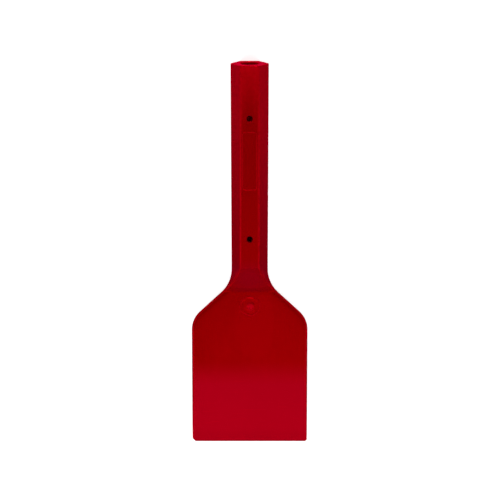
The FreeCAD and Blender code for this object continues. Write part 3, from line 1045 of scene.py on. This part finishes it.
class NodeDesk:
    """A material's or a world's node tree, with short ways to add and join its nodes."""

    def __init__(self, owner: bpy.types.ID, shader: str, coordinates: str = "Object") -> None:
        """Turn the owner's nodes on.

        Args:
            owner: The material or the world.
            shader: The name of its shader node.
            coordinates: The coordinates that place its patterns.
        """
        owner.use_nodes = True
        self.tree = owner.node_tree
        self.shader = self.tree.nodes[shader]
        self.place = self.add("TexCoord").outputs[coordinates]

    def add(self, kind: str, inputs: dict[str | int, object] | None = None,
            **settings: object) -> bpy.types.Node:
        """Add a node.

        Args:
            kind: The node's type, without its ShaderNode prefix.
            inputs: Values or sockets for its inputs, by name or by index.
            settings: The node's own properties.

        Returns:
            The node.
        """
        node = self.tree.nodes.new("ShaderNode" + kind)
        for key, value in settings.items():
            setattr(node, key, value)
        for key, value in (inputs or {}).items():
            self.feed(node.inputs[key], value)
        return node

    def feed(self, socket: Socket, value: object) -> None:
        """Link a socket to another, or set its value.

        Args:
            socket: The input.
            value: A socket or a value for it.
        """
        if isinstance(value, Socket):
            self.tree.links.new(value, socket)
        else:
            socket.default_value = value

    def noise(self, scale: tuple[float, float, float], detail: float = 2.0,
              roughness: float = 0.5) -> Socket:
        """Add a noise pattern on the piece's own coordinates.

        Args:
            scale: Its frequency along X, Y and Z, per metre.
            detail: Its octaves.
            roughness: How strong the finer octaves are.

        Returns:
            The noise's factor.
        """
        mapping = self.add("Mapping", {"Vector": self.place, "Scale": scale})
        texture = self.add("TexNoise", {"Vector": mapping.outputs[0], "Scale": 1.0,
                                        "Detail": detail, "Roughness": roughness})
        return texture.outputs[0]

    def span(self, value: Socket, source: Pair, target: Pair, **settings: object) -> Socket:
        """Map one range of a value onto another, clamped.

        Args:
            value: The socket to read.
            source: The range that it is read over.
            target: The range that it is mapped to.
            settings: The node's own properties.

        Returns:
            The mapped value.
        """
        inputs = {"Value": value, "From Min": source[0], "From Max": source[1],
                  "To Min": target[0], "To Max": target[1]}
        return self.add("MapRange", inputs, **settings).outputs[0]

    def combine(self, operation: str, first: object, second: object) -> Socket:
        """Combine two values with a Math operation and return the result."""
        return self.add("Math", {0: first, 1: second}, operation=operation).outputs[0]

    def plus(self, first: object, second: object) -> Socket:
        """Return the sum of two values."""
        return self.combine("ADD", first, second)

    def times(self, first: object, second: object) -> Socket:
        """Return the product of two values."""
        return self.combine("MULTIPLY", first, second)

    def larger(self, first: object, second: object) -> Socket:
        """Return the larger of two values."""
        return self.combine("MAXIMUM", first, second)

    def blend(self, share: Socket, first: object, second: object) -> Socket:
        """Blend from one colour to another, by a share of the second, and return the result."""
        return self.add("Mix", {0: share, 6: first, 7: second}, data_type="RGBA").outputs[2]

    def run(self, axis: int) -> Socket:
        """Return the place along one axis, from 0 for X to 2 for Z."""
        return self.add("SeparateXYZ", {0: self.place}).outputs[axis]

    def bump(self, height: Socket, distance: float, below: Socket | None = None) -> Socket:
        """Add a bump of a given depth on top of another.

        Args:
            height: The height pattern, from 0 to 1.
            distance: Its depth in metres.
            below: The normal that it sits on, if any.

        Returns:
            The bumped normal.
        """
        inputs = {"Height": height, "Distance": distance, "Strength": 1.0}
        if below is not None:
            inputs["Normal"] = below
        return self.add("Bump", inputs).outputs[0]


@dataclass(frozen=True)
class Patch:
    """A soft oval patch on the front, in metres, and how strong it is."""

    middle: Pair
    reach: Pair
    strength: float
    core: float = 0.25

    @classmethod
    def on(cls, node: str, shift: Pair, reach: Pair, strength: float) -> "Patch":
        """Place a patch by the middle of a node's box.

        Args:
            node: The node.
            shift: How far the patch is from the middle of its box, in millimetres.
            reach: Half the patch's width and half its length, in millimetres.
            strength: How strong it is in its core.

        Returns:
            The patch.
        """
        low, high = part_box(node)
        middle = (low + high) / 2 + Vector((*shift, 0)) * MM
        return cls((middle.x, middle.y), (reach[0] * MM, reach[1] * MM), strength)

    def share(self, desk: NodeDesk) -> Socket:
        """Draw the patch.

        Args:
            desk: The node tree to draw it in.

        Returns:
            Its strength at each point, fading out to its rim.
        """
        scale = (1 / self.reach[0], 1 / self.reach[1], 0)
        shift = (-self.middle[0] / self.reach[0], -self.middle[1] / self.reach[1], 0)
        mapping = desk.add("Mapping", {"Vector": desk.place, "Scale": scale, "Location": shift})
        distance = desk.add("VectorMath", {0: mapping.outputs[0]}, operation="LENGTH")
        return desk.span(distance.outputs["Value"], (1.0, self.core), (0.0, self.strength))


@dataclass(frozen=True)
class MouldedRed:
    """Glossy red polypropylene as it comes out of the mould."""

    name: str
    colour: Colour = (0.285, 0.0, 0.0004, 1.0)
    # The paler tone of the random flow, which the patches of painted light also push towards.
    pale: Colour = (0.345, 0.0, 0.0012, 1.0)
    # The pinkish colour of painted reflections on the ramp and the grip's right side; on the blade a
    # paler one paints the highlight on the gate's stub.
    painted_reflection_colour: Colour = (0.31, 0.0, 0.0065, 1.0)
    # Scuffed band on the blade's end: wear, with a painted sheen over the taper.
    scuff_and_sheen_colour: Colour = (0.345, 0.0, 0.0085, 1.0)
    # The colour of real scratches, and also of painted highlights along outer edges, the gate scar
    # and the bore's mouth.
    worn: Colour = (0.52, 0.0, 0.005, 1.0)
    gloss: float = 0.13
    gloss_tint: Colour = (1.0, 0.0, 0.9, 1.0)
    roughness: Pair = (0.14, 0.19)
    grain_depth: float = 0.002 * MM
    wave_depth: float = 0.03 * MM
    speckle_depth: float = 0.0
    speckle_pale: float = 0.3
    # Patches of painted light: the ramp's foot, and the sheen, highlight and light round the gate and
    # over the blade.
    painted_light: tuple[Patch, ...] = ()
    painted_reflection: tuple[Patch, ...] = ()
    scuff_and_sheen_span: Pair | None = None
    scuff_and_sheen_cover: float = 0.8
    scratch_cover: float = 0.35
    scratch_rough: float = 0.12
    scratch_depth: float = 0.003 * MM

    def material(self) -> bpy.types.Material:
        """Build the material.

        Returns:
            The material, read from the piece's Object coordinates.
        """
        material = bpy.data.materials.new(self.name)
        desk = NodeDesk(material, "Principled BSDF")
        flow = desk.noise((38, 14, 38), detail=3.0)
        cloud = desk.noise((420, 420, 420), detail=4.0, roughness=0.6)
        grain = desk.noise((2600, 2600, 2600), detail=2.0)
        shade = desk.plus(desk.span(flow, (0.35, 0.65), (0.0, 0.4)),
                          desk.span(cloud, (0.4, 0.75), (0.0, 0.3)))
        rough = desk.span(desk.plus(flow, cloud), (0.7, 1.3), self.roughness)
        normal = desk.bump(grain, self.grain_depth, desk.bump(flow, self.wave_depth))
        if self.speckle_depth:
            speckle = desk.span(desk.noise((1500, 1500, 1500), 1.0), (0.5, 0.75), (0.0, 1.0))
            normal = desk.bump(speckle, self.speckle_depth, normal)
            shade = desk.plus(shade, desk.times(speckle, self.speckle_pale))
        colour = self._patched(desk, shade, grain)
        # The band round the taper is paled as scuffing and as painted sheen; the scratches in it are
        # wear.
        if self.scuff_and_sheen_span:
            scuff_and_sheen_share = desk.span(desk.run(1), self.scuff_and_sheen_span, (0.0, 1.0))
            lines = desk.times(self._scratches(desk), scuff_and_sheen_share)
            colour = desk.blend(desk.times(scuff_and_sheen_share, self.scuff_and_sheen_cover), colour, self.scuff_and_sheen_colour)
            colour = desk.blend(desk.times(lines, self.scratch_cover), colour, self.worn)
            rough = desk.plus(rough, desk.times(lines, self.scratch_rough))
            normal = desk.bump(lines, self.scratch_depth, normal)
        # Outer edges, the gate scar's lip and stub and the bore's mouth get the pale colour here:
        # partly edge wear, mostly painted highlight and painted light.
        edge = desk.add("Attribute", attribute_name=WEAR_AND_HIGHLIGHT).outputs["Fac"]
        patchy_wear_and_highlight = desk.span(cloud, (0.3, 0.6), (0.55, 1.0))
        colour = desk.blend(desk.times(edge, patchy_wear_and_highlight), colour, self.worn)
        desk.feed(desk.shader.inputs["Base Color"], colour)
        desk.feed(desk.shader.inputs["Roughness"], rough)
        desk.feed(desk.shader.inputs["Normal"], normal)
        desk.shader.inputs["Metallic"].default_value = self.gloss
        desk.shader.inputs["Specular IOR Level"].default_value = 0.0
        desk.shader.inputs["Specular Tint"].default_value = self.gloss_tint
        return material

    def _patched(self, desk: NodeDesk, shade: Socket, grain: Socket) -> Socket:
        """Colour the plastic, with its streaky patches of painted light and its mottled patches of
        painted reflection.

        Args:
            desk: The material's node tree.
            shade: How pale the plastic is outside the patches.
            grain: The pattern that mottles the painted reflection.

        Returns:
            The colour.
        """
        streaks = desk.span(desk.noise((300, 70, 300), detail=3.0), (0.3, 0.7), (0.55, 1.25))
        # Painted light: each patch pushes the colour towards pale, streaked.
        for patch in self.painted_light:
            shade = desk.plus(shade, desk.times(patch.share(desk), streaks))
        colour = desk.blend(shade, self.colour, self.pale)
        mottle = desk.span(grain, (0.35, 0.6), (0.6, 1.15))
        # Painted reflection: each patch blends towards the pinkish colour, mottled.
        for patch in self.painted_reflection:
            colour = desk.blend(desk.times(patch.share(desk), mottle), colour, self.painted_reflection_colour)
        return colour

    @staticmethod
    def _scratches(desk: NodeDesk) -> Socket:
        """Scratch the blade along and across.

        Args:
            desk: The material's node tree.

        Returns:
            How deep a scratch is at each point.
        """
        across = desk.noise((60, 2400, 60), detail=2.0)
        along = desk.noise((2000, 90, 60), detail=2.0)
        return desk.larger(desk.span(across, (0.64, 0.74), (0.0, 1.0)),
                           desk.span(along, (0.67, 0.76), (0.0, 0.8)))


# Studio ------------------------------------------------------------------------------------------


@dataclass(frozen=True)
class Lamp:
    """One soft area lamp."""

    name: str
    place: tuple[float, float, float]
    aim: tuple[float, float, float]
    size: Pair
    radiance: float

    def add(self) -> None:
        """Hang the lamp and turn it to its aim."""
        data = bpy.data.lights.new(self.name, "AREA")
        data.shape = "RECTANGLE"
        data.size, data.size_y = self.size
        data.energy = self.radiance * math.pi * self.size[0] * self.size[1]
        lamp = bpy.data.objects.new(self.name, data)
        bpy.context.scene.collection.objects.link(lamp)
        facing = Vector(self.aim) - Vector(self.place)
        lamp.rotation_euler = facing.to_track_quat("-Z", "Y").to_euler()
        lamp.location = self.place


@dataclass
class Studio:
    """A pale floor, soft lamps and the camera above the tool."""

    floor_size: float = 8.0
    floor_white: float = 0.85
    floor_roughness: float = 0.9
    camera_tilt: float = math.radians(13.5)
    camera_distance: float = 1.4141
    camera_target: tuple[float, float, float] = (0.0002, 0.00395, 0.0105)
    focal_ratio: float = 4.4
    sensor: float = 36.0
    clip: Pair = (0.05, 50.0)
    floor_glow: float = 0.78
    floor_mirrored: float = 0.15
    shade_edge: float = 0.6
    horizon: float = 1.0
    zenith: float = 0.1
    haze: float = 0.15
    lamps: tuple[Lamp, ...] = (
        Lamp("left_softbox", (-0.70, -0.30, 0.70), (0.0, 0.0, 0.01), (0.5, 0.5), 3.9),
        Lamp("right_softbox", (0.70, -0.30, 0.70), (0.0, 0.0, 0.01), (0.5, 0.5), 3.4),
        Lamp("end_softbox", (0.0, 0.60, 0.03), (0.0, 0.125, 0.01), (0.2, 0.10), 40.0),
        Lamp("crown_strip", (0.0, 0.0, 1.20), (0.0, 0.0, 0.0), (0.4, 0.10), 3.8),
        Lamp("blade_strip", (0.0, -0.33, 1.20), (0.0, -0.33, 0.0), (0.5, 0.26), 2.3),
        Lamp("sheen_softbox", (0.0, -0.60, 1.20), (0.0, -0.60, 0.0), (0.5, 0.26), 5.3),
        Lamp("low_softbox", (0.0, -0.85, 0.40), (0.0, -0.02, 0.0), (0.5, 0.20), 1.2),
    )

    def build(self) -> None:
        """Lay the floor, hang the lamps and set the camera and the view."""
        self._floor()
        self._world()
        for lamp in self.lamps:
            lamp.add()
        self._camera()
        bpy.context.scene.view_settings.view_transform = "Standard"

    def _floor(self) -> None:
        """Lay the floor, which glows white but keeps the tool's shadow, with a painted shadow under
        the grip where its glow is left out.
        """
        bpy.ops.object.select_all(action="DESELECT")
        bpy.ops.mesh.primitive_plane_add(size=self.floor_size)
        floor = bpy.context.object
        floor.name = "floor"
        material = bpy.data.materials.new("pale_floor")
        desk = NodeDesk(material, "Principled BSDF")
        desk.shader.inputs["Base Color"].default_value = (self.floor_white,) * 3 + (1.0,)
        desk.shader.inputs["Roughness"].default_value = self.floor_roughness
        rays = desk.add("LightPath").outputs
        mirrored = desk.larger(rays["Is Glossy Ray"], rays["Is Transmission Ray"])
        glow = desk.larger(desk.times(rays["Is Camera Ray"], self.floor_glow),
                           desk.times(mirrored, self.floor_mirrored))
        # Painted shadow: the floor's glow is left out under the grip, so the floor shows dark through
        # the holes.
        painted_shadow_under_grip = Patch.on("handle", (0.0, -3.75), (12.0, 67.0), 1.3).share(desk)
        open_floor = desk.span(painted_shadow_under_grip, (0.0, self.shade_edge), (1.0, 0.0))
        desk.shader.inputs["Emission Color"].default_value = (1, 1, 1, 1)
        desk.feed(desk.shader.inputs["Emission Strength"], desk.times(glow, open_floor))
        floor.data.materials.append(material)

    def _world(self) -> None:
        """Light the tool from a dim sky that is white at the horizon."""
        world = bpy.data.worlds.new("studio")
        bpy.context.scene.world = world
        desk = NodeDesk(world, "Background", "Generated")
        glow = desk.span(desk.run(2), (0.0, self.haze), (self.horizon, self.zenith),
                         interpolation_type="SMOOTHSTEP")
        desk.feed(desk.shader.inputs["Strength"], glow)
        desk.shader.inputs["Color"].default_value = (1, 1, 1, 1)

    def _camera(self) -> None:
        """Set the camera above the tool, leaning towards the open end."""
        data = bpy.data.cameras.new("camera")
        data.sensor_width = self.sensor
        data.lens = self.focal_ratio * self.sensor
        data.clip_start, data.clip_end = self.clip
        camera = bpy.data.objects.new("camera", data)
        bpy.context.scene.collection.objects.link(camera)
        lean = Vector((0, math.sin(self.camera_tilt), math.cos(self.camera_tilt)))
        camera.location = Vector(self.camera_target) + self.camera_distance * lean
        camera.rotation_euler = (-self.camera_tilt, 0, 0)
        bpy.context.scene.camera = camera


# Assembly ----------------------------------------------------------------------------------------


@dataclass
class HiveTool:
    """The whole tool: the parted moulding, its name panel and its gate mark."""

    groove: float = 0.15 * MM
    fit_gap: float = 0.02 * MM
    panel_corner: float = 1.6 * MM
    grip_bare: float = 5.0 * MM
    blade_bare: float = 9.0 * MM
    mouth_round: float = 0.8 * MM
    hole_round: float = 0.5 * MM
    bore_end_wall: float = 10.0 * MM
    # The blade's band of scuffing and painted sheen reaches this far above and below the taper.
    scuff_and_sheen_above_taper: float = 6.0 * MM
    scuff_and_sheen_below_taper: float = 10.0 * MM

    def build(self) -> None:
        """Build every piece and dress it."""
        moulding = self._moulding()
        plain, blade, grained = self._finishes(moulding.profile.taper_start)
        for region, piece in moulding.part().items():
            if region in (Region.BLADE, Region.EDGE):
                self._settle(piece, blade, region.value, self.blade_bare)
            else:
                self._settle(piece, plain, region.value, self.grip_bare)
        low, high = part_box("name_panel")
        reach = self.groove - self.fit_gap
        margin = Vector((reach, reach, 0))
        panel = NamePanel(low - margin, high + margin, self.panel_corner + reach)
        self._settle(panel.build(), grained, "name_panel")
        low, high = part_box("gate_mark")
        gate = GateMark((low + high) / 2, (high.y - low.y) / 2 + reach, low.z, high.z)
        # The gate scar has no bare front, so its lip and stub get painted highlight.
        self._settle(gate.build(), blade, "gate_mark")

    def _finishes(self, taper_start: float) -> tuple[bpy.types.Material, ...]:
        """Make the tool's finishes.

        Args:
            taper_start: Where along Y the blade starts to taper.

        Returns:
            The finishes of the grip and the neck, of the blade, and of the name panel.
        """
        # Painted light at the ramp's foot; painted reflection on the ramp and on the grip's right
        # side.
        ramp_foot = Patch.on("neck", (0.0, -8.0), (35.0, 5.5), 1.1)
        ramp = Patch.on("neck", (0.0, 1.0), (18.0, 15.0), 0.9)
        grip_side = Patch.on("handle", (11.5, -1.75), (5.0, 90.0), 0.5)
        # Painted sheen below the gate, painted highlight on its stub, and painted light over the
        # blade and beside the gate.
        fan = Patch.on("gate_mark", (3.0, -13.2), (14.0, 24.0), 1.5)
        stub = Patch.on("gate_mark", (0.3, -0.5), (3.6, 4.0), 3.2)
        broad = Patch.on("gate_mark", (0.0, -27.2), (45.0, 40.0), 0.4)
        streak = Patch.on("gate_mark", (9.0, 1.8), (9.0, 6.0), 0.6)
        stub_core = Patch.on("gate_mark", (0.3, -0.5), (3.0, 3.4), 0.9)
        plain = MouldedRed("moulded_red", painted_light=(ramp_foot,), painted_reflection=(ramp, grip_side))
        blade = MouldedRed("moulded_red_blade", painted_light=(fan, stub, broad, streak),
                           painted_reflection=(stub_core,), painted_reflection_colour=(0.43, 0.0, 0.009, 1.0),
                           scuff_and_sheen_span=(taper_start + self.scuff_and_sheen_above_taper,
                                  taper_start - self.scuff_and_sheen_below_taper))
        grained = MouldedRed("moulded_red_grained", roughness=(0.17, 0.23),
                             speckle_depth=0.008 * MM)
        return tuple(finish.material() for finish in (plain, blade, grained))

    def _moulding(self) -> Moulding:
        """Sweep the moulding and cut its bore, holes and recesses.

        Returns:
            The moulding, ready to be parted.
        """
        grip_low, grip_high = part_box("handle")
        neck_low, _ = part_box("neck")
        blade_low, blade_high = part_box("blade")
        edge_low, edge_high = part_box("scraping_edge")
        grip_rise = (grip_high.z - grip_low.z) / 2
        plan = Plan(grip_high.y, grip_low.y, edge_low.y, grip_high.x, blade_high.x)
        profile = SideProfile(grip_low.y, neck_low.y, edge_high.y, edge_low.y, grip_rise,
                              (blade_high.z - blade_low.z) / 2)
        moulding = Moulding(plan, profile, grip_low.z + grip_rise)
        moulding.sweep()
        mounts = {mount["name"]: mount for mount in frame["record"]["mounts"]}
        bore, holes = mounts["grip_bore"]["dims"], mounts["cross_holes"]
        depth = plan.open_end - plan.neck_start - self.bore_end_wall
        moulding.core(bore["r_mm"] * MM, depth, self.mouth_round)
        spread = holes["dims"]["spacing_y_mm"] * MM / 2
        centre = holes["pos_m"][1]
        moulding.drill(holes["dims"]["hole_r_mm"] * MM, (centre + spread, centre - spread),
                       self.hole_round)
        low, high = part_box("name_panel")
        moulding.sink_panel(low, high, self.groove, self.panel_corner)
        low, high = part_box("gate_mark")
        moulding.sink_round((low.y + high.y) / 2, (high.y - low.y) / 2 + self.groove, low.z,
                            self.groove)
        return moulding

    @staticmethod
    def _settle(piece: Piece, material: bpy.types.Material, node: str, bare: float = 0.0) -> None:
        """Dress a piece and let it stand for its node on the tool's body.

        Args:
            piece: The finished piece.
            material: Its finish.
            node: The node that it stands for.
            bare: Half the width of its front whose edges get no painted wear and highlight.
        """
        # Paints edge wear and painted highlight on the piece's outer edges.
        paint_wear_and_highlight(piece, bare, (CAD_BOX[1][1] - CAD_BOX[0][1]) / 2)
        piece.data.materials.clear()
        piece.data.materials.append(material)
        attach(piece, BODY)
        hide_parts(node)
        LOG.info("%s: %d faces for %s", piece.name, len(piece.data.polygons), node)


def main() -> None:
    """Build the tool and the studio."""
    logging.basicConfig(level=logging.INFO, format="%(name)s %(message)s")
    HiveTool().build()
    Studio().build()


if __name__ == "__main__":
    main()
